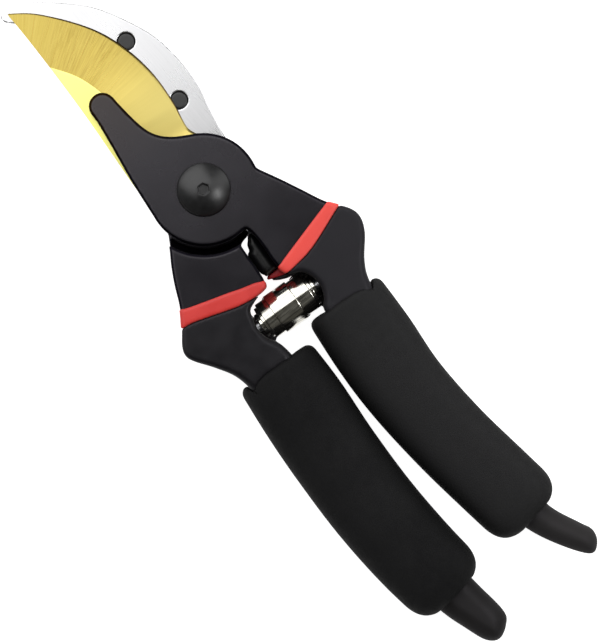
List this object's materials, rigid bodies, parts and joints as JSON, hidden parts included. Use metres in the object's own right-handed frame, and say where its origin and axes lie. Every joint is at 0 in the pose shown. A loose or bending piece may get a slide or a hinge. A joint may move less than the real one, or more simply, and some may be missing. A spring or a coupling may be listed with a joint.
{
  "type": "bypass pruning shears",
  "caption": "Bypass pruning shears with a gold-coated curved blade, steel counter blade, volute spring, back latch and black foam grips.",
  "frame": {"origin": "on the pivot axis, in the plane that the closed tool rests on, at the outer face of the pivot nut", "axes": "+Z along the pivot towards the domed bolt head, +Y from the pivot to the blade tips, +X towards the handle that carries the cutting blade"},
  "size_m": [0.0599, 0.2159, 0.0233],
  "materials": {
    "gold_coated_steel": "titanium-nitride coated, ground bevel with fine cross grinding marks",
    "blade_steel": "fine satin ground",
    "rivet_steel": "dark, flush ground",
    "plain_steel": "turned, bright",
    "coated_casting": "die-cast aluminium with a satin charcoal coat",
    "black_oxide_steel": "black oxide, semi-gloss",
    "zinc_plated_steel": "bright zinc",
    "spring_chrome": "polished chrome strip",
    "black_rubber": "moulded, slightly glossy",
    "red_vinyl": "satin dipped vinyl",
    "black_vinyl": "satin dipped vinyl",
    "black_foam": "matte closed-cell foam rubber"
  },
  "bodies": {
    "hook_side": {"hook_handle_casting": "coated_casting", "counter_blade": "blade_steel", "counter_blade_rivets": "rivet_steel", "latch_catch_pin": "plain_steel", "hook_side_spring_peg": "zinc_plated_steel", "hook_side_red_band": "red_vinyl", "hook_side_vinyl_sleeve": "black_vinyl", "hook_side_foam_grip": "black_foam", "volute_spring": "spring_chrome"},
    "blade_side": {"blade_handle_casting": "coated_casting", "cutting_blade": "gold_coated_steel", "blade_dowel": "plain_steel", "pivot_bolt": "black_oxide_steel", "pivot_washer": "zinc_plated_steel", "pivot_nut": "black_oxide_steel", "latch_screw": "zinc_plated_steel", "latch_wave_washer": "plain_steel", "blade_side_spring_peg": "zinc_plated_steel", "stop_bumper": "black_rubber", "blade_side_red_band": "red_vinyl", "blade_side_vinyl_sleeve": "black_vinyl", "blade_side_foam_grip": "black_foam"},
    "latch": {"latch_lever": "zinc_plated_steel"}
  },
  "joints": [
    {"name": "handles", "type": "hinge", "parent": "hook_side", "child": "blade_side", "pos_m": [0, 0, 0.012], "axis": [0, 0, 1], "range_deg": [0, 32], "stiffness_Nm_per_rad": 1.07, "springref_deg": 40.11, "deforming": ["volute_spring"]},
    {"name": "safety_latch", "type": "hinge", "parent": "blade_side", "child": "latch", "pos_m": [0.0145, -0.0155, 0.0026], "axis": [0, 0, -1], "range_deg": [0, 14]}
  ]
}
